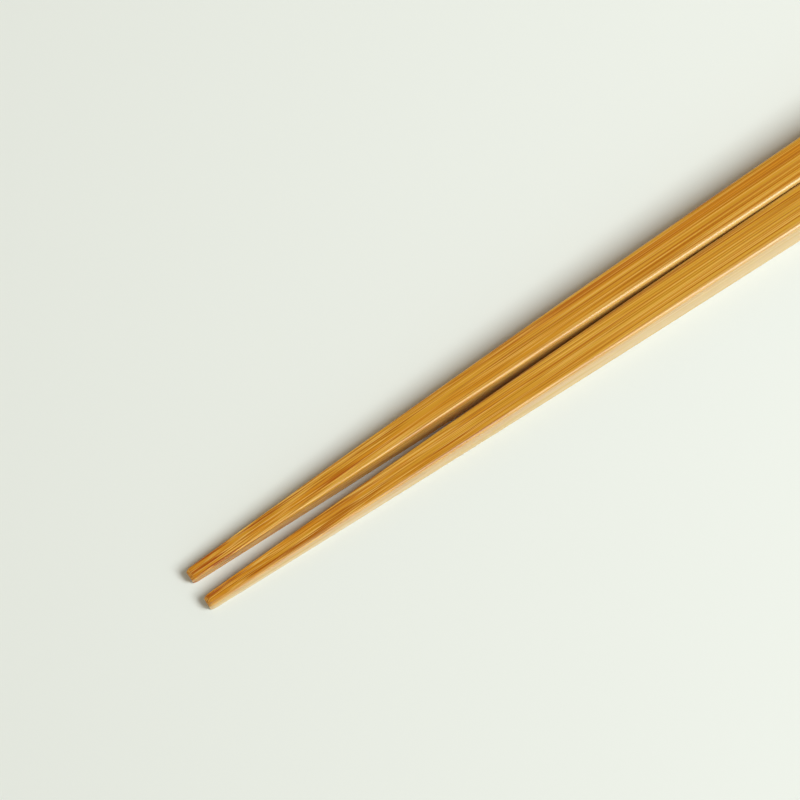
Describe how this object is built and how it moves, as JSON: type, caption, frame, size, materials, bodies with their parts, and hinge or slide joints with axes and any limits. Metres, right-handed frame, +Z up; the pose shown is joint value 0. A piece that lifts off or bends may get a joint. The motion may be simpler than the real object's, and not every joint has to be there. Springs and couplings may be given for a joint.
{
  "type": "pair of bamboo chopsticks",
  "caption": "Pair of bamboo chopsticks, square in section with softened edges, tapering in one long bow from a parallel handle to blunt tips, lying side by side.",
  "frame": {"origin": "on the surface that the sticks lie on, midway along the pair and midway between the two sticks", "axes": "+X runs along the pair from the tips to the handle ends, +Y points to the right-hand stick as seen from the handle ends, and +Z is up"},
  "size_m": [0.23, 0.0152, 0.0072],
  "materials": {
    "carbonised_bamboo": "sanded, satin"
  },
  "bodies": {
    "root": {"right_chopstick": "carbonised_bamboo", "left_chopstick": "carbonised_bamboo"}
  },
  "joints": []
}
